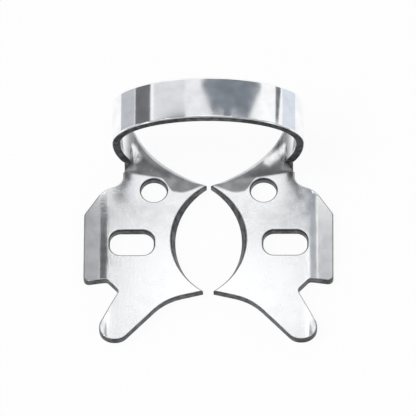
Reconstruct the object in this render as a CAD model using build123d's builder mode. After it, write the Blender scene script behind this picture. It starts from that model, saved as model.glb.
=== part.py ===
from build123d import *
from math import cos, radians, sin
import os

# Rubber dam clamp: one piece of spring steel sheet, stamped and bent.
# Two jaw plates with side wings grip the tooth, and a spring bow joins them over the top.
# The right half (+X) is modelled with the plate's top face at z = 0 and the centre of the
# tooth opening at x = y = 0, with the bow towards +Y. It is then set on the ground and mirrored.

# Steel sheet
sheet = 0.95

# Tooth opening: each jaw has a hollow-ground working edge between its two points
back_point = (0.15, 6.6)
front_point = (0.5, -6.45)
grip_reach = 3.55
grip_bevel = 0.5

# Jaw plate outline
neck_x = 9.3
neck_y = 8.3
neck_round = 1.4
front_edge_bend = (4.6, -7.45)
front_edge_round = 6.0
lobe_inner_x = 9.25
lobe_outer_x = 12.75
lobe_front_y = -12.4
lobe_inner_round = 1.6
lobe_round = 1.6
notch_x = 9.65
notch_y = -6.35
notch_round = 0.5

# Wing, bent down along a crease parallel to Y
wing_x = 13.5
wing_front_y = -5.0
wing_back_y = 3.4
wing_shoulder = (11.5, 6.1)
wing_corner_round = 0.7
wing_shoulder_round = 3.0
crease_x = 10.9
crease_round = 2.6
wing_angle = 14.0

# Forceps hole and side slot, both with a chamfered top rim
hole_x = 5.95
hole_y = 6.05
hole_radius = 1.4
slot_x = 8.3
slot_y = -0.45
slot_length = 4.75
slot_width = 3.0
slot_corner = 1.2
rim_chamfer = 0.2

# Bow: a flattened arch of constant width over the jaws
bow_front_y = 8.45
bow_width = 5.1
bow_half_width = 10.4
bow_shoulder_z = 5.8
bow_rise = 5.7
leg_round = 7.5
leg_angle = 30.0

# Flange that turns up from the plate's back line into the foot of the leg. Its neck edge and its
# free edge are curves that leave the plate level and reach the leg in line with it.
flange_neck_lead = (9.0, 8.7)
flange_neck_knee = (8.7, 8.6, 0.8)
flange_neck_rise = 0.75
flange_tip_lead = (3.4, 7.8)
flange_belly = (7.6, 10.1, 0.5)
flange_back_rise = 1.2
flange_back_pull = 0.85
flange_neck_fullness = 1.5
flange_middle_fullness = 2.0

# Sizes that follow from the ones above
bow_back_y = bow_front_y + bow_width
crease_turn = radians(wing_angle)
crease_run = crease_round * sin(crease_turn)
crease_fall = crease_round * (1 - cos(crease_turn))
wing_slope = sin(crease_turn) / cos(crease_turn)
wing_end_fall = crease_fall + (wing_x - crease_x - crease_run) * wing_slope
ground_lift = wing_end_fall + sheet / cos(crease_turn)
length_centre = (bow_back_y + lobe_front_y) / 2
leg_centre = (bow_half_width - leg_round, bow_shoulder_z)
foot_turn = radians(leg_angle)
foot_x = leg_centre[0] + (leg_round - sheet) * cos(foot_turn)
foot_z = leg_centre[1] - (leg_round - sheet) * sin(foot_turn)


def opening_outline(mid_x):
    """Closed line round the tooth side of a jaw, with its working edge bowed out to mid_x."""
    clear_x = -1.0
    ThreePointArc(back_point, (mid_x, 0), front_point)
    Polyline(front_point, (clear_x, front_point[1]), (clear_x, back_point[1]), back_point)


# Jaw plate with its wing
with BuildPart() as jaw:
    with BuildSketch(Plane.XZ):
        with BuildLine():
            plate_top = Line((0, 0), (crease_x, 0))
            crease = JernArc(plate_top @ 1, plate_top % 1, crease_round, -wing_angle)
            Line(crease @ 1, (crease @ 1) + (crease % 1) * wing_x)
            offset(amount=sheet, side=Side.RIGHT)
        make_face()
    extrude(amount=2 * bow_back_y, both=True)

    with BuildSketch():
        with BuildLine():
            FilletPolyline(
                (neck_x, neck_y),
                back_point,
                front_point,
                front_edge_bend,
                (lobe_inner_x, lobe_front_y),
                (lobe_outer_x, lobe_front_y),
                (notch_x, notch_y),
                (crease_x, wing_front_y),
                (wing_x, wing_front_y),
                (wing_x, wing_back_y),
                wing_shoulder,
                (neck_x, neck_y - neck_round),
                radius=[
                    0,
                    0,
                    0,
                    front_edge_round,
                    lobe_inner_round,
                    lobe_round,
                    notch_round,
                    notch_round,
                    wing_corner_round,
                    wing_corner_round,
                    wing_shoulder_round,
                    neck_round,
                ],
                close=True,
            )
        make_face()
    extrude(amount=2 * bow_back_y, both=True, mode=Mode.INTERSECT)

    with BuildSketch(Plane.XY.offset(-sheet)):
        with BuildLine():
            opening_outline(grip_reach)
        make_face()
    with BuildSketch(Plane.XY):
        with BuildLine():
            opening_outline(grip_reach + grip_bevel)
        make_face()
    loft(mode=Mode.SUBTRACT)

    with Locations((hole_x, hole_y)):
        CounterSinkHole(hole_radius, hole_radius + rim_chamfer, counter_sink_angle=90)
    with BuildSketch():
        with Locations((slot_x, slot_y)):
            RectangleRounded(slot_length, slot_width, slot_corner)
    extrude(amount=-2 * sheet, mode=Mode.SUBTRACT)
    with BuildSketch():
        with Locations((slot_x, slot_y)):
            RectangleRounded(
                slot_length + 2 * rim_chamfer,
                slot_width + 2 * rim_chamfer,
                slot_corner + rim_chamfer,
            )
    extrude(amount=-rim_chamfer, taper=45, mode=Mode.SUBTRACT)

# Bow: half of the arch, down to the foot of its leg
with BuildPart() as bow:
    with BuildSketch(Plane.XZ.offset(-bow_front_y)):
        with BuildLine():
            EllipticalCenterArc((0, bow_shoulder_z), bow_half_width, bow_rise, 0, arc_size=90)
            outer_leg = CenterArc(leg_centre, leg_round, 0, arc_size=-leg_angle)
            inner_leg = CenterArc(leg_centre, leg_round - sheet, 0, arc_size=-leg_angle)
            EllipticalCenterArc(
                (0, bow_shoulder_z), bow_half_width - sheet, bow_rise - sheet, 0, arc_size=90
            )
            Line(outer_leg @ 1, inner_leg @ 1)
            Line((0, bow_shoulder_z + bow_rise - sheet), (0, bow_shoulder_z + bow_rise))
        make_face()
    extrude(amount=-bow_width)


def below_foot(rise, y):
    """Point at y that lies in line with the leg's inner face, rise below the foot."""
    return (foot_x - rise * sin(foot_turn), y, foot_z - rise * cos(foot_turn))


# Flange between the plate and the leg. The inner face is ruled between its two edges, and the
# outer face lies one sheet away from it.
neck_points = [
    Vector(neck_x, neck_y, 0),
    Vector(*flange_neck_lead, 0),
    Vector(*flange_neck_knee),
    Vector(*below_foot(flange_neck_rise, bow_front_y)),
    Vector(foot_x, bow_front_y, foot_z),
]
free_points = [
    Vector(*back_point, 0),
    Vector(*flange_tip_lead, 0),
    Vector(*flange_belly),
    Vector(*below_foot(flange_back_rise, bow_back_y - flange_back_pull)),
    Vector(foot_x, bow_back_y, foot_z),
]


def outer_row(share, fullness):
    """Control points of the outer face, share of the way from the neck edge to the free edge."""
    row = []
    for neck_point, free_point, place, depth in zip(
        neck_points, free_points, (0, 0, 0.5, 1, 1), (1, 1, fullness, 1, 1)
    ):
        across = (free_edge @ place) - (neck_edge @ place)
        neck_run = (neck_edge % place) * neck_edge.length
        free_run = (free_edge % place) * free_edge.length
        outwards = across.cross(neck_run * (1 - share) + free_run * share).normalized()
        row.append(neck_point * (1 - share) + free_point * share + outwards * sheet * depth)
    return row


neck_edge = Edge.make_bezier(*neck_points)
free_edge = Edge.make_bezier(*free_points)
outer_rows = [outer_row(0, flange_neck_fullness), outer_row(0.5, flange_middle_fullness), outer_row(1, 1)]
outer_neck_edge = Edge.make_bezier(*outer_rows[0])
outer_free_edge = Edge.make_bezier(*outer_rows[2])
with BuildPart() as flange:
    add(
        Solid(
            Shell(
                [
                    Face.make_surface_from_curves(neck_edge, free_edge),
                    Face.make_bezier_surface(outer_rows),
                    Face.make_surface_from_curves(neck_edge, outer_neck_edge),
                    Face.make_surface_from_curves(free_edge, outer_free_edge),
                    Face.make_surface_from_curves(
                        Edge.make_line(neck_edge @ 0, free_edge @ 0),
                        Edge.make_line(outer_neck_edge @ 0, outer_free_edge @ 0),
                    ),
                    Face.make_surface_from_curves(
                        Edge.make_line(neck_edge @ 1, free_edge @ 1),
                        Edge.make_line(outer_neck_edge @ 1, outer_free_edge @ 1),
                    ),
                ]
            )
        )
    )

# The whole clamp: the half is set on the ground, centred over its length, and mirrored
on_ground = Location((0, -length_centre, ground_lift))
with BuildPart() as clamp:
    add(jaw.part.moved(on_ground))
    add(bow.part.moved(on_ground))
    add(flange.part.moved(on_ground))
    mirror(about=Plane.YZ)

clamp.part.label = "clamp"
os.makedirs("parts", exist_ok=True)
export_step(clamp.part, "parts/clamp.step")
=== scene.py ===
"""Rubber dam clamp: one polished spring steel sheet, stamped and bent, on a pale studio floor.

Sizes are millimetres in the dataclasses, with the jaw plate's upper face at z = 0 and the centre
of the tooth opening at x = y = 0. `to_frame` sets a point on the floor, in metres.
"""

import logging
import math
from dataclasses import dataclass, field
from enum import Enum

import bmesh
import bpy
from mathutils import Matrix, Vector
from mathutils.geometry import delaunay_2d_cdt


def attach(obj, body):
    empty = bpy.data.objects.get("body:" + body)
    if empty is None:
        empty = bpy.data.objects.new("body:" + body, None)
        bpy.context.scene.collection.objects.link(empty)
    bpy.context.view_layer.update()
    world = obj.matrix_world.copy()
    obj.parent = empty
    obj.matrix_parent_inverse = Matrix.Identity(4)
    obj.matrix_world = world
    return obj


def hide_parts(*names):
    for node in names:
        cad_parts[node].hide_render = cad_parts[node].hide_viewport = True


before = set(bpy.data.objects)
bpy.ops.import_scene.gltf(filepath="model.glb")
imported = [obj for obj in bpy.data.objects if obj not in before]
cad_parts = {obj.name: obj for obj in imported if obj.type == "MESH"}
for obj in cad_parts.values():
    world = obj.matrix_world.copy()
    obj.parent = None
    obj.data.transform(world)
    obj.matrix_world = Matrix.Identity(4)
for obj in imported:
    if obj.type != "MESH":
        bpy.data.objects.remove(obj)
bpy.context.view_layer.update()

MM = 0.001
BODY = "root"

# How close points count as one: SEAM and MIRROR_GAP in metres, PLAN_WELD in millimetres
SEAM = 2e-7
MIRROR_GAP = 1e-6
PLAN_WELD = 1e-6

log = logging.getLogger("clamp")

Plan = tuple[float, float]
Range = tuple[float, float]
Place = tuple[float, float, float]
Colour = tuple[float, float, float]
Socket = bpy.types.NodeSocket
Feeds = dict[int | str, object]


class Face(Enum):
    """The two faces of the sheet: the one that the jaws' upper side continues, and its back."""

    INNER = "inner"
    OUTER = "outer"


# Plane geometry


def arc_points(centre: Plan, radius: float, start: float, turn: float, count: int) -> list[Plan]:
    """Points along a circular arc.

    Args:
        centre: Centre of the arc.
        radius: Radius of the arc.
        start: Angle of the first point, in radians.
        turn: Angle from the first point to the last.
        count: Number of equal steps.

    Returns:
        count + 1 points, ends included.
    """
    angles = [start + turn * step / count for step in range(count + 1)]
    return [(centre[0] + radius * math.cos(a), centre[1] + radius * math.sin(a)) for a in angles]


def rounded_corner(before: Plan, corner: Plan, after: Plan, radius: float, step: float) -> list[Plan]:
    """The arc that rounds one corner of an outline.

    Args:
        before: The outline's point before the corner.
        corner: The corner.
        after: The outline's point after the corner.
        radius: Radius of the rounding, 0 for a sharp corner.
        step: Longest step along the arc, in radians.

    Returns:
        The arc's points, or the corner alone where it stays sharp.
    """
    if radius == 0:
        return [corner]
    fewest_steps = 3
    here = Vector(corner)
    back = (Vector(before) - here).normalized()
    ahead = (Vector(after) - here).normalized()
    half = back.angle(ahead) / 2
    reach = radius / math.tan(half)
    centre = here + (back + ahead).normalized() * (radius / math.sin(half))
    first = here + back * reach - centre
    last = here + ahead * reach - centre
    turn = math.atan2(first.cross(last), first.dot(last))
    count = max(fewest_steps, math.ceil(abs(turn) / step))
    return arc_points(tuple(centre), radius, math.atan2(first.y, first.x), turn, count)


def circle_through(first: Plan, middle: Plan, last: Plan) -> tuple[Plan, float]:
    """The circle through three points.

    Args:
        first: One point.
        middle: Another point.
        last: The third point.

    Returns:
        The circle's centre and radius.
    """
    (ax, ay), (bx, by), (cx, cy) = first, middle, last
    spread = 2 * (ax * (by - cy) + bx * (cy - ay) + cx * (ay - by))
    squares = (ax * ax + ay * ay, bx * bx + by * by, cx * cx + cy * cy)
    x = (squares[0] * (by - cy) + squares[1] * (cy - ay) + squares[2] * (ay - by)) / spread
    y = (squares[0] * (cx - bx) + squares[1] * (ax - cx) + squares[2] * (bx - ax)) / spread
    return (x, y), math.hypot(ax - x, ay - y)


def arc_through(first: Plan, middle: Plan, last: Plan, count: int) -> list[Plan]:
    """Points along an arc that turns by less than half a circle.

    Args:
        first: Where the arc starts.
        middle: A point on its way.
        last: Where it ends.
        count: Number of equal steps.

    Returns:
        count + 1 points, ends included.
    """
    centre, radius = circle_through(first, middle, last)
    start = Vector(first) - Vector(centre)
    end = Vector(last) - Vector(centre)
    turn = math.atan2(start.cross(end), start.dot(end))
    return arc_points(centre, radius, math.atan2(start.y, start.x), turn, count)


def bezier(points: list[Vector], place: float) -> Vector:
    """One point of a Bezier curve.

    Args:
        points: The curve's control points.
        place: Where on the curve, from 0 to 1.

    Returns:
        The point.
    """
    degree = len(points) - 1
    total = Vector((0, 0, 0))
    for index, point in enumerate(points):
        share = math.comb(degree, index) * place**index * (1 - place) ** (degree - index)
        total += point * share
    return total


def held(value: float) -> float:
    """A value, held between 0 and 1."""
    return min(1.0, max(0.0, value))


# Sizes


@dataclass
class SheetSizes:
    """The steel sheet that the whole clamp is bent from, and how its edges are rounded."""

    thickness: float = 0.95
    edge_round: float = 0.13
    rim_round: float = 0.2
    bow_round: float = 0.26
    bow_round_start: float = 2.0
    bow_round_run: float = 4.0
    round_steps: int = 4
    sharp_angle: float = math.radians(40)
    flat_angle: float = math.radians(0.2)
    # Share of the sheared edges' dark colour given to the plates' rounded outlines, as painted shade
    painted_outline_shade: float = 0.75


@dataclass
class JawSizes:
    """Plan and bends of one jaw plate, for the +X side.

    plate_height is the height of its upper face over the floor. The crease is rounder than the
    solid's, and wing_angle brings the wing's edge to the same height all the same.
    """

    back_point: Plan = (0.15, 6.6)
    front_point: Plan = (0.5, -6.45)
    grip_reach: float = 3.55
    grip_bevel: float = 0.5
    neck: Plan = (9.3, 8.3)
    neck_round: float = 1.4
    front_edge_bend: Plan = (4.6, -7.45)
    front_edge_round: float = 6.0
    lobe_inner: Plan = (9.25, -12.4)
    lobe_outer: Plan = (12.75, -12.4)
    lobe_round: float = 1.6
    notch: Plan = (9.65, -6.35)
    notch_round: float = 0.5
    wing_x: float = 13.5
    wing_front_y: float = -5.0
    wing_back_y: float = 3.4
    wing_shoulder: Plan = (11.5, 6.1)
    wing_corner_round: float = 0.7
    wing_shoulder_round: float = 3.0
    crease_x: float = 10.9
    crease_round: float = 4.0
    wing_angle: float = math.radians(15.24)
    hole: Plan = (5.95, 6.05)
    hole_radius: float = 1.4
    slot: Plan = (8.3, -0.45)
    slot_length: float = 4.75
    slot_width: float = 3.0
    slot_corner: float = 1.2
    plate_height: float = 1.5477


@dataclass
class BowSizes:
    """The flattened arch over the jaws and its legs. The leg takes leg_share of the arch's rows."""

    front_y: float = 8.45
    width: float = 5.1
    half_width: float = 10.4
    shoulder_z: float = 5.8
    rise: float = 5.7
    leg_round: float = 7.5
    leg_angle: float = math.radians(30)
    leg_share: float = 0.28


@dataclass
class FlangeSizes:
    """The two curved edges of the flange between a plate and its leg."""

    neck_lead: Plan = (9.0, 8.7)
    neck_knee: Place = (8.7, 8.6, 0.8)
    neck_rise: float = 0.75
    tip_lead: Plan = (3.4, 7.8)
    belly: Place = (7.6, 10.1, 0.5)
    back_rise: float = 1.2
    back_pull: float = 0.85
    neck_fullness: float = 1.5
    middle_fullness: float = 2.0


# One-sided sheet


@dataclass
class SheetMesh:
    """The sheet's inner face, with each point's partner on the outer face."""

    inner: list[Vector] = field(default_factory=list)
    outer: list[Vector] = field(default_factory=list)
    painted_edge_sheen: list[float] = field(default_factory=list)
    faces: list[tuple[int, ...]] = field(default_factory=list)

    def point(self, inner: Vector, outer: Vector, painted_edge_sheen: float = 0.0) -> int:
        """Adds a pair of points.

        Args:
            inner: The point on the inner face.
            outer: Its partner on the outer face.
            painted_edge_sheen: How far a painted highlight lifts the flange's painted shade there, from 0 to
                1.

        Returns:
            The pair's number.
        """
        self.inner.append(inner)
        self.outer.append(outer)
        self.painted_edge_sheen.append(painted_edge_sheen)
        return len(self.inner) - 1

    def strip(self, rows: list[list[int]]) -> None:
        """Adds the four-sided faces between neighbouring rows of points.

        Args:
            rows: The numbers of the points in each row.
        """
        for lower, upper in zip(rows, rows[1:]):
            for left in range(len(lower) - 1):
                self.faces.append((lower[left], lower[left + 1], upper[left + 1], upper[left]))


class JawPlate:
    """The flat plate with its working edge, holes, lobe and bent wing."""

    corner_step = math.radians(7)
    grip_steps = 72
    hole_steps = 56
    slot_corner_steps = 12
    crease_steps = 6

    # The cuts along the crease reach past the plate, but beyond lobe_side they leave the lobe whole
    crease_reach = 20.0
    lobe_side = 11.5

    first_rung = -4.7
    rung_gap = 0.6
    rung_count = 18

    def __init__(self, sizes: JawSizes, sheet: SheetSizes) -> None:
        """Keeps the sizes of the plate and of its sheet."""
        self.sizes = sizes
        self.sheet = sheet

    def bent_z(self, x: float, face: Face) -> float:
        """Height of a face of the plate, on the flat, round the crease or on the wing.

        Args:
            x: Distance from the middle of the clamp.
            face: Which face.

        Returns:
            The height.
        """
        s = self.sizes
        depth = 0.0 if face is Face.INNER else self.sheet.thickness
        radius = s.crease_round - depth
        run = radius * math.sin(s.wing_angle)
        past = x - s.crease_x
        if past <= 0:
            return -depth
        if past <= run:
            return -depth - (radius - math.sqrt(radius * radius - past * past))
        fall = radius * (1 - math.cos(s.wing_angle))
        return -depth - fall - (past - run) * math.tan(s.wing_angle)

    def back_line(self, steps: int) -> list[Plan]:
        """Points of the fold line, from the neck to the back point of the jaw."""
        start, end = Vector(self.sizes.neck), Vector(self.sizes.back_point)
        return [tuple(start.lerp(end, step / steps)) for step in range(steps + 1)]

    def working_edge(self, reach: float) -> list[Plan]:
        """Points of the edge that grips the tooth, from the back point to the front point."""
        s = self.sizes
        return arc_through(s.back_point, (reach, 0.0), s.front_point, self.grip_steps)

    def side_outline(self) -> list[Plan]:
        """The outline's other side, round the lobe and the wing.

        Returns:
            Its points, from after the front point up to before the neck.
        """
        s = self.sizes
        corners = [
            (s.front_point, 0.0),
            (s.front_edge_bend, s.front_edge_round),
            (s.lobe_inner, s.lobe_round),
            (s.lobe_outer, s.lobe_round),
            (s.notch, s.notch_round),
            ((s.crease_x, s.wing_front_y), s.notch_round),
            ((s.wing_x, s.wing_front_y), s.wing_corner_round),
            ((s.wing_x, s.wing_back_y), s.wing_corner_round),
            (s.wing_shoulder, s.wing_shoulder_round),
            ((s.neck[0], s.neck[1] - s.neck_round), s.neck_round),
            (s.neck, 0.0),
        ]
        outline: list[Plan] = []
        for (before, _), (corner, radius), (after, _) in zip(corners, corners[1:], corners[2:]):
            outline += rounded_corner(before, corner, after, radius, self.corner_step)
        return outline

    def hole_outline(self) -> list[Plan]:
        """Points round the forceps hole."""
        circle = arc_points(self.sizes.hole, self.sizes.hole_radius, 0.0, 2 * math.pi, self.hole_steps)
        return circle[:-1]

    def slot_outline(self) -> list[Plan]:
        """The outline of the side slot.

        Returns:
            Its points, corner by corner.
        """
        s = self.sizes
        right, back = s.slot_length / 2 - s.slot_corner, s.slot_width / 2 - s.slot_corner
        quarter_turn = math.pi / 2
        outline: list[Plan] = []
        for quarter, (side, end) in enumerate([(1, 1), (-1, 1), (-1, -1), (1, -1)]):
            centre = (s.slot[0] + side * right, s.slot[1] + end * back)
            start = quarter * quarter_turn
            outline += arc_points(centre, s.slot_corner, start, quarter_turn, self.slot_corner_steps)
        return outline

    def crease_end(self) -> float:
        """Value of x at which the crease ends and the flat wing begins."""
        return self.sizes.crease_x + self.sizes.crease_round * math.sin(self.sizes.wing_angle)

    def cuts(self) -> list[tuple[Plan, Plan]]:
        """The lines that cut the plate, so that it bends round the crease and shades evenly.

        Returns:
            The two ends of each line: first those along the crease, then the rungs across it.
        """
        s = self.sizes
        start, end = s.crease_x, self.crease_end()
        lines = []
        for step in range(self.crease_steps + 1):
            x = start + (end - start) * step / self.crease_steps
            front = -self.crease_reach if x < self.lobe_side else s.notch[1]
            lines.append(((x, front), (x, self.crease_reach)))
        rungs = [self.first_rung + self.rung_gap * step for step in range(self.rung_count)]
        return lines + [((start, y), (end, y)) for y in rungs]

    def triangles(self, loops: list[list[Plan]]) -> tuple[list[Vector], list[list[int]], list[list[int]]]:
        """Cuts the plan into triangles.

        Args:
            loops: The closed outlines of the plate and of its holes.

        Returns:
            The points, the triangles' points, and for each point the outline's points it stands for.
        """
        points: list[Plan] = []
        edges: list[tuple[int, int]] = []
        for loop in loops:
            first = len(points)
            points += loop
            edges += [(first + i, first + (i + 1) % len(loop)) for i in range(len(loop))]
        for cut in self.cuts():
            edges.append((len(points), len(points) + 1))
            points += cut
        made = delaunay_2d_cdt([Vector(point) for point in points], edges, [], 0, PLAN_WELD)
        return made[0], made[2], made[3]

    def build(self, mesh: SheetMesh, fold_steps: int) -> list[int]:
        """Adds the plate to the sheet.

        Args:
            mesh: The sheet to add to.
            fold_steps: Number of steps along the fold line.

        Returns:
            The numbers of the points along the fold line, from the neck to the back point.
        """
        s = self.sizes
        fold = self.back_line(fold_steps)
        grip_upper = self.working_edge(s.grip_reach + s.grip_bevel)
        grip_lower = self.working_edge(s.grip_reach)
        outline = fold + grip_upper[1:] + self.side_outline()
        holes = [self.hole_outline(), self.slot_outline()]
        verts, triangles, sources = self.triangles([outline, *holes])
        lower = {index + len(fold) - 1: grip_lower[index] for index in range(1, len(grip_lower))}
        numbers: dict[int, int] = {}
        fold_numbers: dict[int, int] = {}
        for triangle in triangles:
            middle = sum((verts[i] for i in triangle), Vector((0, 0))) / 3
            if not self._inside(middle, outline) or any(self._inside(middle, hole) for hole in holes):
                continue
            for i in triangle:
                if i in numbers:
                    continue
                above = below = verts[i]
                for source in sources[i]:
                    if source in lower:
                        below = Vector(lower[source])
                numbers[i] = mesh.point(
                    Vector((above.x, above.y, self.bent_z(above.x, Face.INNER))),
                    Vector((below.x, below.y, self.bent_z(below.x, Face.OUTER))),
                )
                for source in sources[i]:
                    if source < len(fold):
                        fold_numbers[source] = numbers[i]
            mesh.faces.append(tuple(numbers[i] for i in triangle))
        return [fold_numbers[index] for index in range(len(fold))]

    @staticmethod
    def _inside(point: Vector, loop: list[Plan]) -> bool:
        """Whether a point lies inside a closed outline.

        Args:
            point: The point.
            loop: The outline's points.

        Returns:
            True if it lies inside.
        """
        inside = False
        for (ax, ay), (bx, by) in zip(loop, loop[1:] + loop[:1]):
            if (ay > point.y) != (by > point.y):
                if point.x < (bx - ax) * (point.y - ay) / (by - ay) + ax:
                    inside = not inside
        return inside


class BowAndFlange:
    """The flange that turns up from the fold line, the leg and half of the bow."""

    border_rows = 3
    control_places = (0, 0, 0.5, 1, 1)
    control_rows = (0, 0.5, 1)
    direction_step = 0.001
    length_steps = 40

    def __init__(self, bow: BowSizes, flange: FlangeSizes, jaw: JawSizes, sheet: SheetSizes) -> None:
        """Keeps the sizes and works out the edges of the flange.

        Args:
            bow: Sizes of the bow and its legs.
            flange: Sizes of the flange.
            jaw: Sizes of the plate that the flange turns up from.
            sheet: Sizes of the sheet.
        """
        self.bow = bow
        self.flange = flange
        self.sheet = sheet
        self.leg_centre = (bow.half_width - bow.leg_round, bow.shoulder_z)
        self.back_y = bow.front_y + bow.width
        self.neck_points = [
            Vector((*jaw.neck, 0)),
            Vector((*flange.neck_lead, 0)),
            Vector(flange.neck_knee),
            self.below_foot(flange.neck_rise, bow.front_y),
            self.below_foot(0, bow.front_y),
        ]
        self.free_points = [
            Vector((*jaw.back_point, 0)),
            Vector((*flange.tip_lead, 0)),
            Vector(flange.belly),
            self.below_foot(flange.back_rise, self.back_y - flange.back_pull),
            self.below_foot(0, self.back_y),
        ]

    def below_foot(self, rise: float, y: float) -> Vector:
        """A point in line with the leg's inner face.

        Args:
            rise: Distance below the foot of the leg.
            y: The point's y.

        Returns:
            The point.
        """
        turn = self.bow.leg_angle
        inner = self.bow.leg_round - self.sheet.thickness
        x = self.leg_centre[0] + inner * math.cos(turn) - rise * math.sin(turn)
        z = self.leg_centre[1] - inner * math.sin(turn) - rise * math.cos(turn)
        return Vector((x, y, z))

    def outer_row(self, share: float, fullness: float) -> list[Vector]:
        """Control points of the flange's outer face, along one of its rows.

        Args:
            share: The row's place on the way from the neck edge to the free edge.
            fullness: Depth of its middle point, in sheets.

        Returns:
            The points, from the fold line to the leg.
        """
        row = []
        depths = (1, 1, fullness, 1, 1)
        stations = zip(self.neck_points, self.free_points, self.control_places, depths)
        for neck_point, free_point, place, depth in stations:
            across = bezier(self.free_points, place) - bezier(self.neck_points, place)
            along = self.run(self.neck_points, place).lerp(self.run(self.free_points, place), share)
            outwards = across.cross(along).normalized()
            row.append(neck_point.lerp(free_point, share) + outwards * self.sheet.thickness * depth)
        return row

    def run(self, points: list[Vector], place: float) -> Vector:
        """Direction of a curve, as long as the curve.

        Args:
            points: The curve's control points.
            place: Where on the curve, from 0 to 1.

        Returns:
            The direction.
        """
        step, count = self.direction_step, self.length_steps
        ahead = bezier(points, min(1, place + step)) - bezier(points, max(0, place - step))
        stations = [bezier(points, index / count) for index in range(count + 1)]
        length = sum((b - a).length for a, b in zip(stations, stations[1:]))
        return ahead.normalized() * length

    def bow_pair(self, place: float, y: float) -> tuple[Vector, Vector]:
        """A point of the leg or bow on both faces of the sheet.

        Args:
            place: Where on the arch, from the foot at 0 to the middle at 1.
            y: The point's y.

        Returns:
            The inner and the outer point.
        """
        b = self.bow
        pair = []
        for depth in (self.sheet.thickness, 0.0):
            if place < b.leg_share:
                turn = -b.leg_angle * (1 - place / b.leg_share)
                x = self.leg_centre[0] + (b.leg_round - depth) * math.cos(turn)
                z = self.leg_centre[1] + (b.leg_round - depth) * math.sin(turn)
            else:
                turn = (place - b.leg_share) / (1 - b.leg_share) * math.pi / 2
                x = (b.half_width - depth) * math.cos(turn)
                z = b.shoulder_z + (b.rise - depth) * math.sin(turn)
            pair.append(Vector((x, y, z)))
        return pair[0], pair[1]

    def build(self, mesh: SheetMesh, fold: list[int], flange_steps: int, bow_steps: int) -> None:
        """Adds the flange, leg and half bow to the sheet.

        Args:
            mesh: The sheet to add to.
            fold: The numbers of the points along the fold line, from the neck to the back point.
            flange_steps: Number of steps from the fold line to the foot of the leg.
            bow_steps: Number of steps from the foot of the leg to the middle of the bow.
        """
        across = len(fold) - 1
        fullness = (self.flange.neck_fullness, self.flange.middle_fullness, 1.0)
        net = [self.outer_row(share, full) for share, full in zip(self.control_rows, fullness)]
        rows = [fold]
        for step in range(1, flange_steps + 1):
            place = step / flange_steps
            neck, free = bezier(self.neck_points, place), bezier(self.free_points, place)
            ribs = [bezier(row, place) for row in net]
            row = []
            for i in range(across + 1):
                # Painted highlight along the free edge: the last rows lift the flange's painted shade
                painted_edge_sheen = max(0.0, 1.0 - (across - i) / self.border_rows)
                row.append(mesh.point(neck.lerp(free, i / across), bezier(ribs, i / across), painted_edge_sheen))
            rows.append(row)
        for step in range(1, bow_steps + 1):
            depths = [self.bow.front_y + self.bow.width * i / across for i in range(across + 1)]
            rows.append([mesh.point(*self.bow_pair(step / bow_steps, y)) for y in depths])
        mesh.strip(rows)


# Node trees


class NodeBuilder:
    """Short calls for making a node tree."""

    def __init__(self, tree: bpy.types.NodeTree) -> None:
        """Works on an empty tree."""
        self.tree = tree

    def node(self, kind: str, feeds: Feeds | None = None, **settings: object) -> bpy.types.Node:
        """Adds a node.

        Args:
            kind: The node's type.
            feeds: What its inputs take, by their names or numbers: each an output or a value.
            settings: Its settings.

        Returns:
            The node.
        """
        node = self.tree.nodes.new(kind)
        for name, value in settings.items():
            setattr(node, name, value)
        for key, value in (feeds or {}).items():
            if isinstance(value, Socket):
                self.join(value, node.inputs[key])
            else:
                node.inputs[key].default_value = value
        return node

    def join(self, source: Socket, target: Socket) -> None:
        """Links two sockets."""
        self.tree.links.new(source, target)


class TreeBuilder(NodeBuilder):
    """Short calls for making a Geometry Nodes tree."""

    def __init__(self, name: str) -> None:
        """Starts an empty tree with a geometry input and output.

        Args:
            name: Name of the tree.
        """
        super().__init__(bpy.data.node_groups.new(name, "GeometryNodeTree"))
        for way in ("INPUT", "OUTPUT"):
            self.tree.interface.new_socket("Geometry", in_out=way, socket_type="NodeSocketGeometry")

    def input(self, name: str, kind: str) -> str:
        """Adds a named input and returns its identifier."""
        return self.tree.interface.new_socket(name, in_out="INPUT", socket_type=kind).identifier


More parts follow.
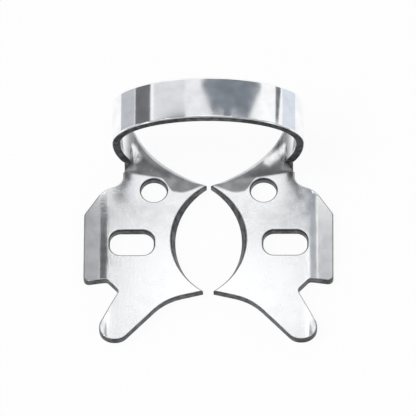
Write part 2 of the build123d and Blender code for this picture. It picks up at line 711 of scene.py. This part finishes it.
class StampedSheetTree:
    """Geometry Nodes tree that turns one face of the sheet into the whole bent clamp.

    It draws the second face from each point's partner, walls the cut edges between them, and
    mirrors the half to the other jaw.
    """

    def __init__(self) -> None:
        """Builds the tree and keeps the identifiers of its inputs."""
        builder = TreeBuilder("Stamped sheet")
        self.seam = builder.input("Seam", "NodeSocketFloat")
        self.material = builder.input("Material", "NodeSocketMaterial")
        self.tree = builder.tree
        start = builder.node("NodeGroupInput")
        sheet = start.outputs["Geometry"]
        partner = builder.node(
            "GeometryNodeInputNamedAttribute", {"Name": "partner"}, data_type="FLOAT_VECTOR"
        ).outputs["Attribute"]
        wall = builder.node(
            "GeometryNodeExtrudeMesh",
            {"Mesh": sheet, "Selection": self._open_edge(builder), "Offset Scale": 0.0},
            mode="EDGES",
        ).outputs
        mark = builder.node(
            "GeometryNodeStoreNamedAttribute",
            {"Geometry": wall["Mesh"], "Selection": wall["Side"], "Name": "cut", "Value": 1.0},
            data_type="FLOAT",
            domain="FACE",
        )
        lowered = builder.node(
            "GeometryNodeSetPosition",
            {"Geometry": mark.outputs["Geometry"], "Selection": wall["Top"], "Position": partner},
        )
        second = builder.node("GeometryNodeSetPosition", {"Geometry": sheet, "Position": partner})
        turned = builder.node("GeometryNodeFlipFaces", {"Mesh": second.outputs["Geometry"]})
        half = self._merged(builder, start, lowered.outputs["Geometry"], turned.outputs["Mesh"])
        mirror = builder.node("GeometryNodeTransform", {"Geometry": half, "Scale": (-1.0, 1.0, 1.0)})
        mirrored = builder.node("GeometryNodeFlipFaces", {"Mesh": mirror.outputs["Geometry"]})
        whole = self._merged(builder, start, half, mirrored.outputs["Mesh"])
        real = builder.node("GeometryNodeRealizeInstances", {"Geometry": whole})
        finish = builder.node(
            "GeometryNodeSetMaterial",
            {"Geometry": real.outputs["Geometry"], "Material": start.outputs["Material"]},
        )
        builder.node("NodeGroupOutput", {"Geometry": finish.outputs["Geometry"]})

    @staticmethod
    def _open_edge(builder: TreeBuilder) -> Socket:
        """Selection of the sheet's edges, without those on the mirror plane.

        Args:
            builder: The tree's builder.

        Returns:
            The output with the selection.
        """
        # A Compare node takes whole numbers at its inputs 2 and 3
        neighbours = builder.node("GeometryNodeInputMeshEdgeNeighbors").outputs["Face Count"]
        lone = builder.node("FunctionNodeCompare", {2: neighbours, 3: 1}, data_type="INT", operation="EQUAL")
        ends = builder.node("GeometryNodeInputMeshEdgeVertices").outputs
        reach = builder.node(
            "ShaderNodeVectorMath", {0: ends["Position 1"], 1: ends["Position 2"]}, operation="ADD"
        )
        split = builder.node("ShaderNodeSeparateXYZ", {0: reach.outputs[0]})
        clear = builder.node(
            "FunctionNodeCompare",
            {0: split.outputs["X"], 1: MIRROR_GAP},
            data_type="FLOAT",
            operation="GREATER_THAN",
        )
        both = {0: lone.outputs[0], 1: clear.outputs[0]}
        return builder.node("FunctionNodeBooleanMath", both, operation="AND").outputs[0]

    @staticmethod
    def _merged(builder: TreeBuilder, start: bpy.types.Node, first: Socket, second: Socket) -> Socket:
        """Joins two meshes and makes the points that meet one.

        Args:
            builder: The tree's builder.
            start: The node with the tree's inputs.
            first: The output with one mesh.
            second: The output with the other.

        Returns:
            The output with the joined mesh.
        """
        both = builder.node("GeometryNodeJoinGeometry")
        for mesh in (first, second):
            builder.join(mesh, both.inputs[0])
        feeds = {"Geometry": both.outputs[0], "Distance": start.outputs["Seam"]}
        return builder.node("GeometryNodeMergeByDistance", feeds).outputs["Geometry"]

    def apply(self, piece: bpy.types.Object, material: bpy.types.Material) -> bpy.types.Mesh:
        """Runs the tree on a piece.

        Args:
            piece: The object with the sheet's inner face.
            material: The finish of the steel.

        Returns:
            The whole clamp as a plain mesh.
        """
        modifier = piece.modifiers.new("Stamped sheet", "NODES")
        modifier.node_group = self.tree
        modifier[self.seam] = SEAM
        modifier[self.material] = material
        graph = bpy.context.evaluated_depsgraph_get()
        mesh = bpy.data.meshes.new_from_object(piece.evaluated_get(graph))
        piece.modifiers.remove(modifier)
        return mesh


# Finish


class ShaderBuilder(NodeBuilder):
    """Short calls for making a material."""

    def math(self, operation: str, first: object, second: object = 0.0) -> Socket:
        """The output of a Math node on two outputs or numbers."""
        return self.node("ShaderNodeMath", {0: first, 1: second}, operation=operation).outputs[0]

    def ramp(self, value: Socket, given: Range, made: Range = (0.0, 1.0)) -> Socket:
        """Maps a value from one range to another, clamped and eased.

        Args:
            value: The output with the value.
            given: Low and high end of the range that it comes from.
            made: What those two ends become.

        Returns:
            The output with the new value.
        """
        ends = {"From Min": given[0], "From Max": given[1], "To Min": made[0], "To Max": made[1]}
        feeds = {"Value": value, **ends}
        return self.node("ShaderNodeMapRange", feeds, interpolation_type="SMOOTHSTEP").outputs["Result"]

    def lessened(self, value: Socket, mask: Socket, depth: float) -> Socket:
        """A value, less the share depth of it where the mask is 1."""
        kept = self.math("SUBTRACT", 1.0, self.math("MULTIPLY", mask, depth))
        return self.math("MULTIPLY", value, kept)

    def mixed(self, share: object, first: object, second: object, blend: str = "MIX") -> Socket:
        """The output of a Mix node on two colours, each an output or a value."""
        # A Mix node takes colours at its inputs 6 and 7 and gives one at its output 2
        feeds = {0: share, 6: first, 7: second}
        return self.node("ShaderNodeMix", feeds, data_type="RGBA", blend_type=blend).outputs[2]

    def vector(self, operation: str, first: object, second: object) -> bpy.types.Node:
        """The node that works on two vectors, each an output or a value."""
        return self.node("ShaderNodeVectorMath", {0: first, 1: second}, operation=operation)

    def from_line(self, place: Socket, line: tuple[Place, Place]) -> Socket:
        """Distance from a place to a line.

        Args:
            place: The output with the place, in metres.
            line: The two ends of the line, in millimetres.

        Returns:
            The output with the distance, in metres.
        """
        start, end = (Vector(point) for point in line)
        first, run = start * MM, (end - start) * MM
        offset = self.vector("SUBTRACT", place, first)
        along = self.vector("DOT_PRODUCT", offset.outputs[0], run / run.length_squared)
        share = self.ramp(along.outputs["Value"], (0.0, 1.0))
        nearest = self.vector("ADD", self.vector("MULTIPLY", share, run).outputs[0], first)
        return self.vector("DISTANCE", place, nearest.outputs[0]).outputs["Value"]

    def noise(self, place: Socket, grain: Range) -> Socket:
        """The value of a Noise texture whose scale and detail are the grain's two numbers."""
        feeds = {"Scale": grain[0], "Detail": grain[1], "Vector": place}
        return self.node("ShaderNodeTexNoise", feeds).outputs["Fac"]

    def attribute(self, name: str) -> Socket:
        """The value of one of the mesh's attributes."""
        return self.node("ShaderNodeAttribute", attribute_name=name).outputs["Fac"]

    def seen(self) -> Socket:
        """Tells the rays by which the camera sees a surface: straight, mirrored or through glass.

        Returns:
            The output that is 1 on those rays and 0 on the others.
        """
        rays = self.node("ShaderNodeLightPath").outputs
        seen = self.math("MAXIMUM", rays["Is Camera Ray"], rays["Is Glossy Ray"])
        return self.math("MAXIMUM", seen, rays["Is Transmission Ray"])


def empty_nodes(owner: bpy.types.Material | bpy.types.World) -> ShaderBuilder:
    """Gives a material or the world an empty node tree.

    Args:
        owner: The material or the world.

    Returns:
        The tree's builder.
    """
    owner.use_nodes = True
    owner.node_tree.nodes.clear()
    return ShaderBuilder(owner.node_tree)


@dataclass(frozen=True)
class PolishedSteel:
    """Spring steel: mirror polished on the bow, satin on the jaws, dull on the sheared edges. Painted shade
    darkens the sheared edges further, and the flanges, the rims of the holes and the plates' outlines.

    The painted highlights' lines are in millimetres in the CAD frame, the other lengths in metres.
    """

    colour: Colour = (0.955, 0.96, 0.97)
    # Sheared edges: dull steel, darkened further with painted shade; the scuffed flecks are lighter at
    # random
    cut_colour_and_shade: Colour = (0.045, 0.047, 0.05)
    scuffed_colour: Colour = (0.13, 0.133, 0.14)
    scuff_noise: Range = (1500.0, 3.0)
    scuff_span: Range = (0.35, 0.7)
    # Painted shade on the rounded rims of the holes: their colour falls by this share
    painted_rim_shade: float = 0.5

    cloud_noise: Range = (700.0, 5.0)
    cloud_span: Range = (0.3, 0.7)
    cloud_shade: Range = (0.94, 1.04)
    cloud_fold: Range = (1.05, 0.92)
    rough_span: Range = (0.25, 0.75)
    rough_share: Range = (0.85, 1.2)

    bow_roughness: float = 0.085
    plate_roughness: float = 0.25
    cut_roughness: float = 0.36
    satin_heights: Range = (0.001, 0.0075)
    polished_sides: Range = (0.0099, 0.0113)
    polished_share: float = 0.75

    fine_noise: Range = (4200.0, 3.0)
    grain_stretch: Place = (8000.0, 700.0, 900.0)
    grain_noise: Range = (1.0, 2.0)
    bump_strength: float = 0.26
    bump_depth: float = 0.00001
    least_bump: float = 0.15

    # Painted shade on the flanges, in place of the dark surroundings that they reflect: the base colour
    # keeps this share, within the line, bulge and top below
    painted_fold_shade: float = 0.3
    fold_middle_y: float = 0.006
    fold_slope: float = 0.186
    fold_bulge: float = 0.0014
    bulge_start: Range = (0.0, 0.0032)
    bulge_end: Range = (0.0038, 0.0052)
    fold_border: Range = (-0.00015, 0.0002)
    fold_top: Range = (0.0036, 0.0056)
    # Painted highlight along the flanges' free edges: the share of painted shade kept there, and its span
    sheen_shade_share: float = 0.3
    sheen_span: Range = (0.3, 0.62)
    # Painted highlights on the flanges: near these lines their painted shade is left out
    left_highlight: tuple[Place, Place] = ((-8.15, 9.75, 3.19), (-7.82, 9.0, 2.63))
    right_highlight: tuple[Place, Place] = ((8.15, 9.75, 3.15), (6.5, 8.8, 2.1))
    highlight_core: float = 0.25
    highlight_reach: float = 0.8

    def painted_fold_share(self, b: ShaderBuilder, place: Socket, split: bpy.types.Node) -> Socket:
        """How far painted shade darkens the steel, in place of the flange's dark reflections: 1 on the
        flange, 0 on the plate and the bow, and 0 at the painted highlights.

        Args:
            b: The builder of the material.
            place: The output with the place on the clamp.
            split: The node with the place's x, y and z.

        Returns:
            The output with the share.
        """
        side = b.math("ABSOLUTE", split.outputs["X"])
        line = b.math("ADD", b.math("MULTIPLY", side, self.fold_slope), self.fold_middle_y)
        past = b.math("SUBTRACT", split.outputs["Y"], line)
        bulge = b.math("MULTIPLY", b.ramp(side, self.bulge_start), b.ramp(side, self.bulge_end, (1.0, 0.0)))
        past = b.math("ADD", past, b.math("MULTIPLY", bulge, self.fold_bulge))
        share = b.ramp(past, self.fold_border)
        share = b.math("MULTIPLY", share, b.ramp(split.outputs["Z"], self.fold_top, (1.0, 0.0)))
        # Painted highlights: no painted shade near the two lines
        away = b.math("MINIMUM", b.from_line(place, self.left_highlight), b.from_line(place, self.right_highlight))
        return b.math("MULTIPLY", share, b.ramp(away, (self.highlight_core * MM, self.highlight_reach * MM)))

    def make(self) -> bpy.types.Material:
        """Builds the material.

        Returns:
            The material.
        """
        material = bpy.data.materials.new("polished_spring_steel")
        b = empty_nodes(material)
        place = b.node("ShaderNodeTexCoord").outputs["Object"]
        split = b.node("ShaderNodeSeparateXYZ", {0: place})
        cut = b.attribute("cut")
        satin = b.ramp(split.outputs["Z"], self.satin_heights, (1.0, 0.0))
        cloud = b.noise(place, self.cloud_noise)
        fine = b.noise(place, self.fine_noise)
        stretch = b.node("ShaderNodeMapping", {"Scale": self.grain_stretch, "Vector": place})
        grain = b.noise(stretch.outputs["Vector"], self.grain_noise)

        # Painted shade on the flanges, in place of their dark reflections, varied by the clouds
        fold = self.painted_fold_share(b, place, split)
        fold = b.math("MULTIPLY", fold, b.ramp(cloud, self.cloud_span, self.cloud_fold))
        # Painted highlight: less painted shade along the flanges' free edges
        sheen_lift = b.ramp(b.attribute("painted_edge_sheen"), self.sheen_span, (1.0, self.sheen_shade_share))
        fold = b.math("MULTIPLY", fold, sheen_lift)
        shade = b.ramp(cloud, self.cloud_span, self.cloud_shade)
        # Painted shade on the rims of the holes
        shade = b.lessened(shade, b.attribute("shaded_rim"), self.painted_rim_shade)
        shade = b.lessened(shade, fold, 1.0 - self.painted_fold_shade)
        scuffed = b.ramp(b.noise(place, self.scuff_noise), self.scuff_span)
        # Sheared edges: dull steel darkened further with painted shade, with lighter flecks at random
        sheared = b.mixed(scuffed, (*self.cut_colour_and_shade, 1), (*self.scuffed_colour, 1))
        base = b.mixed(cut, (*self.colour, 1), sheared)

        polished = b.ramp(b.math("ABSOLUTE", split.outputs["X"]), self.polished_sides)
        satin_here = b.lessened(satin, polished, self.polished_share)
        rough = b.math("MULTIPLY", satin_here, self.plate_roughness - self.bow_roughness)
        rough = b.math("ADD", rough, self.bow_roughness)
        rough = b.math("MULTIPLY", rough, b.ramp(cloud, self.rough_span, self.rough_share))
        rough = b.math("MAXIMUM", rough, b.math("MULTIPLY", cut, self.cut_roughness))

        height = b.math("MULTIPLY", b.math("ADD", fine, grain), b.math("ADD", satin, self.least_bump))
        bump = b.node(
            "ShaderNodeBump",
            {"Strength": self.bump_strength, "Distance": self.bump_depth, "Height": height},
        )
        shader = b.node(
            "ShaderNodeBsdfPrincipled",
            {
                "Metallic": 1.0,
                "Base Color": b.mixed(1.0, base, shade, "MULTIPLY"),
                "Roughness": rough,
                "Normal": bump.outputs["Normal"],
            },
        )
        b.node("ShaderNodeOutputMaterial", {"Surface": shader.outputs[0]})
        return material


# The clamp


class RubberDamClamp:
    """The whole clamp, as one closed mesh in the CAD frame."""

    fold_steps = 14
    flange_steps = 26
    bow_steps = 60

    # Distances in millimetres by which a point may miss the line or face that it is tested against
    rung_slack = 1e-4
    crease_slack = 0.01
    top_slack = 0.01
    rim_slack = 0.1
    rim_margin = 0.005
    grip_slack = 0.03
    plate_slack = 0.05

    # How far up the faces of a rounded edge look, as the upward part of their normals
    rounded_normals = (0.1, 0.95)

    def __init__(self) -> None:
        """Sets the sizes and works out where the clamp stands."""
        self.sheet = SheetSizes()
        self.jaw_sizes = JawSizes()
        self.jaw = JawPlate(self.jaw_sizes, self.sheet)
        self.bow = BowAndFlange(BowSizes(), FlangeSizes(), self.jaw_sizes, self.sheet)
        self.length_centre = (self.bow.back_y + self.jaw_sizes.lobe_inner[1]) / 2
        self.ground_lift = self.jaw_sizes.plate_height

    def to_frame(self, point: Vector) -> Vector:
        """A point of the sizes, set on the floor and in metres."""
        return Vector((point.x, point.y - self.length_centre, point.z + self.ground_lift)) * MM

    def _on_jaw(self, point: Vector) -> Place:
        """The place in the right jaw's sizes of a point in the frame or of its mirrored twin."""
        return abs(point.x) / MM, point.y / MM + self.length_centre, point.z / MM - self.ground_lift

    def half_sheet(self) -> bpy.types.Object:
        """Makes the inner face of the +X half, with each point's partner as an attribute.

        Returns:
            The object with that face.
        """
        mesh = SheetMesh()
        fold = self.jaw.build(mesh, self.fold_steps)
        self.bow.build(mesh, fold, self.flange_steps, self.bow_steps)
        data = bpy.data.meshes.new("clamp_sheet")
        data.from_pydata([self.to_frame(p) for p in mesh.inner], [], mesh.faces)
        partner = data.attributes.new("partner", "FLOAT_VECTOR", "POINT")
        for number, point in enumerate(mesh.outer):
            partner.data[number].vector = self.to_frame(point)
        painted_edge_sheen = data.attributes.new("painted_edge_sheen", "FLOAT", "POINT")
        painted_edge_sheen.data.foreach_set("value", mesh.painted_edge_sheen)
        work = bmesh.new()
        work.from_mesh(data)
        bmesh.ops.recalc_face_normals(work, faces=work.faces)
        work.to_mesh(data)
        work.free()
        piece = bpy.data.objects.new("clamp_steel", data)
        bpy.context.scene.collection.objects.link(piece)
        return piece

    def round_edges(self, piece: bpy.types.Object) -> None:
        """Joins the flat faces, then rounds the sheared edges and the rims of the holes.

        Args:
            piece: The whole clamp.
        """
        sheet = self.sheet
        work = bmesh.new()
        work.from_mesh(piece.data)
        bmesh.ops.dissolve_limit(
            work, angle_limit=sheet.flat_angle, verts=[], edges=self._plain_edges(work)
        )
        bmesh.ops.recalc_face_normals(work, faces=work.faces)
        layer, layers = "bevel_weight_edge", work.edges.layers.float
        weight = layers.get(layer) or layers.new(layer)
        for edge in work.edges:
            if len(edge.link_faces) == 2 and edge.calc_face_angle() > sheet.sharp_angle:
                edge[weight] = self._rounding(edge) / sheet.bow_round
        for face in work.faces:
            face.smooth = True
        work.to_mesh(piece.data)
        work.free()
        bevel = piece.modifiers.new("Rounded edges", "BEVEL")
        bevel.limit_method = "WEIGHT"
        bevel.width = sheet.bow_round * MM
        bevel.segments = sheet.round_steps
        bevel.use_clamp_overlap = False
        bevel.harden_normals = True
        self._apply(piece)

    def _plain_edges(self, work: bmesh.types.BMesh) -> list[bmesh.types.BMEdge]:
        """Edges between triangles of the plates, which only divide a flat face.

        Args:
            work: The whole clamp's mesh.

        Returns:
            The edges, without the rungs that cross the crease.
        """
        crease_start = self.jaw_sizes.crease_x - self.crease_slack
        plain = []
        for edge in work.edges:
            first, second = (vert.co / MM for vert in edge.verts)
            level = abs(first.y - second.y) < self.rung_slack
            rung = level and min(abs(first.x), abs(second.x)) > crease_start
            if not rung and all(len(face.verts) == 3 for face in edge.link_faces):
                plain.append(edge)
        return plain

    def _past_rim(self, point: Vector) -> float:
        """Distance from a point of a jaw's upper face to the nearest hole or slot.

        Args:
            point: The point, in the frame.

        Returns:
            The distance in millimetres, below 0 inside the hole.
        """
        j = self.jaw_sizes
        x, y, _ = self._on_jaw(point)
        past_hole = math.hypot(x - j.hole[0], y - j.hole[1]) - j.hole_radius
        right = abs(x - j.slot[0]) - j.slot_length / 2 + j.slot_corner
        back = abs(y - j.slot[1]) - j.slot_width / 2 + j.slot_corner
        past_slot = math.hypot(max(right, 0), max(back, 0)) + min(max(right, back), 0) - j.slot_corner
        return min(past_hole, past_slot)

    def _on_working_edge(self, point: Vector) -> bool:
        """Whether a point of a jaw's upper face lies on the edge that grips the tooth.

        Args:
            point: The point, in the frame.

        Returns:
            True if it lies there.
        """
        j = self.jaw_sizes
        reach = j.grip_reach + j.grip_bevel
        centre, radius = circle_through(j.back_point, (reach, 0.0), j.front_point)
        x, y, _ = self._on_jaw(point)
        away = math.hypot(x - centre[0], y - centre[1]) - radius
        return abs(away) < self.grip_slack and centre[0] < x < reach + self.rim_slack

    def _rounding(self, edge: bmesh.types.BMEdge) -> float:
        """Radius of an edge: wide on the rims of the holes and on the bow, narrow elsewhere.

        Args:
            edge: The edge.

        Returns:
            The radius, in millimetres.
        """
        sheet = self.sheet
        middle = (edge.verts[0].co + edge.verts[1].co) / 2
        height = self._on_jaw(middle)[2]
        on_rim = self._past_rim(middle) < self.rim_slack or self._on_working_edge(middle)
        if height > -self.top_slack and on_rim:
            return sheet.rim_round
        up_the_leg = held((height - sheet.bow_round_start) / sheet.bow_round_run)
        return sheet.edge_round + up_the_leg * (sheet.bow_round - sheet.edge_round)

    def paint_outline_shade(self, piece: bpy.types.Object) -> None:
        """Darkens the roundings along the edges of the plates with painted shade, in the dark colour of the
        sheared edges.

        Args:
            piece: The whole clamp.
        """
        mesh = piece.data
        cut = mesh.attributes["cut"].data
        lowest, highest = self.rounded_normals
        for face in mesh.polygons:
            x, y, z = self._on_jaw(face.center)
            on_plate = z < self.plate_slack and y < self.fold_y(x) - self.plate_slack
            if on_plate and lowest < face.normal.z < highest:
                # Painted shade: the rounding takes part of the sheared edges' dark colour
                cut[face.index].value = max(cut[face.index].value, self.sheet.painted_outline_shade)

    def fold_y(self, x: float) -> float:
        """Value of y on the fold line at x, or level with its ends beyond them."""
        (neck_x, neck_y), (point_x, point_y) = self.jaw_sizes.neck, self.jaw_sizes.back_point
        return point_y + held((x - point_x) / (neck_x - point_x)) * (neck_y - point_y)

    def paint_rim_shade(self, piece: bpy.types.Object) -> None:
        """Marks the rounded rims of the holes for painted shade, which darkens their colour.

        Args:
            piece: The whole clamp.
        """
        shaded_rim = piece.data.attributes.new("shaded_rim", "FLOAT", "POINT").data
        width, margin = self.sheet.rim_round, self.rim_margin
        for vert in piece.data.vertices:
            on_top = self._on_jaw(vert.co)[2] > -width
            on_rim = margin < self._past_rim(vert.co) < width - margin
            shaded_rim[vert.index].value = 1.0 if on_top and on_rim else 0.0

    @staticmethod
    def _apply(piece: bpy.types.Object) -> None:
        """Makes a piece's modifiers part of its mesh.

        Args:
            piece: The piece.
        """
        graph = bpy.context.evaluated_depsgraph_get()
        mesh = bpy.data.meshes.new_from_object(piece.evaluated_get(graph), depsgraph=graph)
        piece.modifiers.clear()
        piece.data = mesh

    def build(self) -> bpy.types.Object:
        """Builds and dresses the clamp.

        Returns:
            The finished piece, which stands for the CAD node.
        """
        steel = PolishedSteel().make()
        piece = self.half_sheet()
        piece.data = StampedSheetTree().apply(piece, steel)
        self.round_edges(piece)
        self.paint_rim_shade(piece)
        self.paint_outline_shade(piece)
        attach(piece, BODY)
        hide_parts("clamp")
        log.info("clamp: %d faces", len(piece.data.polygons))
        return piece


# Studio


@dataclass(frozen=True)
class Card:
    """A flat card over the clamp, seen only in its reflections. Its corners are in millimetres."""

    name: str
    corners: tuple[Place, ...]
    shade: Colour


def level_card(name: str, corners: tuple[Plan, ...], z: float, shade: Colour) -> Card:
    """A level card with any corners."""
    return Card(name, tuple((x, y, z) for x, y in corners), shade)


def level_box(name: str, x: Range, y: Range, z: float, shade: Colour) -> Card:
    """A level rectangular card between two values of x and two of y."""
    return level_card(name, ((x[0], y[0]), (x[1], y[0]), (x[1], y[1]), (x[0], y[1])), z, shade)


class Studio:
    """The floor, the white surroundings, the cards, the lamps and the camera."""

    picture = 416
    scale_px = 9.25
    anchor_px = (208.5, 238.7)
    elevation = math.radians(60.2)
    yaw = math.radians(-1.77)
    roll = math.radians(1.72)
    distance = 1.0
    sensor_width = 36.0
    clip_range = (0.05, 10.0)

    floor_half = 1.5
    floor_whiteness = 0.93
    floor_colour = (0.93, 0.935, 0.94)
    room_light = 0.55
    key_place = (-0.35, -0.1, 0.6)
    key_size = 0.35
    key_power = 2.0

    cards = (
        Card(
            "bow_card_left",
            ((-55.1, 33, 32.7), (-43.2, 33, 48.5), (-43.2, 50, 48.5), (-55.1, 50, 32.7)),
            (0.15, 0.155, 0.165),
        ),
        Card(
            "bow_card_middle",
            ((4.5, 37.9, 64.8), (27.6, 37.9, 59.0), (39.8, 43.0, 51.4), (-6.4, 43.0, 64.6)),
            (0.175, 0.2, 0.23),
        ),
        level_box("bow_card_pale", (-18, 3), (37.0, 46), 65.5, (0.82, 0.825, 0.84)),
        level_card(
            "bow_card_pale_left", ((-54, 44), (-18, 37.0), (-18, 47), (-54, 56)), 65.5, (0.72, 0.73, 0.75)
        ),
        level_box("plate_card", (-19, 19), (15, 40.5), 70, (1.33, 1.33, 1.33)),
        Card(
            "bow_card_right",
            ((50.9, 38.5, 40.0), (52.6, 38.5, 37.0), (55.1, 44, 32.7), (50.9, 44, 40.0)),
            (0.12, 0.13, 0.15),
        ),
        Card(
            "bow_card_left_end",
            ((-60, 33, 2), (-56, 33, 32), (-56, 50, 32), (-60, 50, 2)),
            (0.5, 0.52, 0.55),
        ),
        Card(
            "bow_card_right_end",
            ((60, 33, 2), (56, 33, 31), (56, 50, 31), (60, 50, 2)),
            (0.7, 0.75, 0.82),
        ),
        level_card(
            "crease_card_left", ((-34, 18), (-11.8, 18), (-12.6, 30.2), (-36, 34.4)), 49, (0.1, 0.103, 0.11)
        ),
        level_card("wing_card_left", ((-62, 8), (-34, 8), (-36, 34), (-62, 37)), 47, (0.41, 0.415, 0.43)),
        level_card("wing_card_right", ((34, 8), (62, 8), (62, 37), (34, 33)), 47, (0.55, 0.555, 0.57)),
        level_card(
            "shoulder_card_right",
            ((8.2, 27.0), (12.2, 27.0), (11.8, 31.5), (7.4, 34.0)),
            49,
            (0.175, 0.2, 0.23),
        ),
        level_card(
            "crease_card_right", ((12.5, 16), (31, 16), (31, 33.4), (12.5, 29.2)), 49, (0.42, 0.44, 0.47)
        ),
        level_box("ceiling_card", (-55, 55), (-60, 12), 61, (0.45, 0.455, 0.465)),
        level_box("flange_card", (-26, 26), (-30, 16), 60, (0.4, 0.405, 0.415)),
        Card(
            "front_card",
            ((-55, -60, 36), (55, -60, 36), (55, -60, 60), (-55, -60, 60)),
            (0.45, 0.455, 0.465),
        ),
        Card(
            "side_card_left",
            ((-70, -40, 20), (-70, 8, 20), (-70, 8, 60), (-70, -40, 60)),
            (0.4, 0.405, 0.42),
        ),
        Card(
            "side_card_right",
            ((70, -40, 20), (70, 8, 20), (70, 8, 60), (70, -40, 60)),
            (0.4, 0.405, 0.42),
        ),
    )

    def __init__(self, anchor: Vector) -> None:
        """Keeps the centre of the tooth opening, which the camera is set by."""
        self.anchor = anchor

    def camera(self) -> None:
        """Makes the camera, at the photograph's angle, with a long lens."""
        across = Vector((math.cos(self.yaw), -math.sin(self.yaw), 0))
        up = Vector(
            (
                math.sin(self.yaw) * math.sin(self.elevation),
                math.cos(self.yaw) * math.sin(self.elevation),
                math.cos(self.elevation),
            )
        )
        right = across * math.cos(self.roll) - up * math.sin(self.roll)
        top = across * math.sin(self.roll) + up * math.cos(self.roll)
        back = right.cross(top)
        middle = self.picture / 2
        aim = self.anchor
        aim = aim + right * (middle - self.anchor_px[0]) / self.scale_px * MM
        aim = aim + top * (self.anchor_px[1] - middle) / self.scale_px * MM
        data = bpy.data.cameras.new("camera")
        data.sensor_width = self.sensor_width
        data.lens = data.sensor_width * self.distance / (self.picture / self.scale_px * MM)
        data.clip_start, data.clip_end = self.clip_range
        camera = bpy.data.objects.new("camera", data)
        turn = Matrix((right, top, back)).transposed().to_4x4()
        camera.matrix_world = Matrix.Translation(aim + back * self.distance) @ turn
        bpy.context.scene.collection.objects.link(camera)
        bpy.context.scene.camera = camera

    def world(self) -> None:
        """White surroundings for the camera and the steel, and a softer light for the rest."""
        world = bpy.data.worlds.new("surroundings")
        b = empty_nodes(world)
        strength = b.math("ADD", b.math("MULTIPLY", b.seen(), 1 - self.room_light), self.room_light)
        light = b.node("ShaderNodeBackground", {"Color": (1, 1, 1, 1), "Strength": strength})
        b.node("ShaderNodeOutputWorld", {"Surface": light.outputs[0]})
        bpy.context.scene.world = world

    def plane(self, name: str, corners: list[Vector], material: bpy.types.Material) -> bpy.types.Object:
        """Makes a four-cornered plane.

        Args:
            name: Its name.
            corners: Its corners, in the frame.
            material: Its finish.

        Returns:
            The object.
        """
        mesh = bpy.data.meshes.new(name)
        mesh.from_pydata(corners, [], [(0, 1, 2, 3)])
        mesh.materials.append(material)
        plane = bpy.data.objects.new(name, mesh)
        bpy.context.scene.collection.objects.link(plane)
        return plane

    def floor(self) -> None:
        """A wide pale floor under the clamp."""
        material = bpy.data.materials.new("pale_floor")
        b = empty_nodes(material)
        matt = b.node("ShaderNodeBsdfDiffuse", {"Color": (*self.floor_colour, 1)})
        glow = b.node("ShaderNodeEmission")
        share = b.math("MULTIPLY", b.seen(), self.floor_whiteness)
        mix = b.node("ShaderNodeMixShader", {0: share, 1: matt.outputs[0], 2: glow.outputs[0]})
        b.node("ShaderNodeOutputMaterial", {"Surface": mix.outputs[0]})
        corners = [Vector((x, y, 0)) * self.floor_half for x, y in ((-1, -1), (1, -1), (1, 1), (-1, 1))]
        floor = self.plane("floor", corners, material)

    def card(self, card: Card) -> None:
        """Makes one reflection card.

        Args:
            card: The card.
        """
        material = bpy.data.materials.new(card.name)
        b = empty_nodes(material)
        glow = b.node("ShaderNodeEmission", {"Color": (*card.shade, 1)})
        b.node("ShaderNodeOutputMaterial", {"Surface": glow.outputs[0]})
        obj = self.plane(card.name, [Vector(corner) * MM for corner in card.corners], material)
        obj.visible_camera = False
        obj.visible_diffuse = False
        obj.visible_shadow = False

    def lamp(self, name: str, place: Vector, size: float, power: float) -> None:
        """Makes one soft square lamp that points at the clamp.

        Args:
            name: Its name.
            place: Where it stands, in the frame.
            size: Length of its side.
            power: Its power, in watts.
        """
        data = bpy.data.lights.new(name, "AREA")
        data.size = size
        data.energy = power
        lamp = bpy.data.objects.new(name, data)
        turn = place.to_track_quat("Z", "Y").to_matrix().to_4x4()
        lamp.matrix_world = Matrix.Translation(place) @ turn
        bpy.context.scene.collection.objects.link(lamp)

    def build(self) -> None:
        """Sets up the whole studio."""
        self.world()
        self.floor()
        self.lamp("key_lamp", Vector(self.key_place), self.key_size, self.key_power)
        for card in self.cards:
            self.card(card)
        self.camera()
        bpy.context.scene.view_settings.view_transform = "Standard"
        log.info("studio: %d cards", len(self.cards))


def main() -> None:
    """Builds the clamp and the studio."""
    logging.basicConfig(level=logging.INFO, format="%(name)s: %(message)s")
    clamp = RubberDamClamp()
    clamp.build()
    Studio(clamp.to_frame(Vector((0, 0, 0)))).build()


if __name__ == "__main__":
    main()
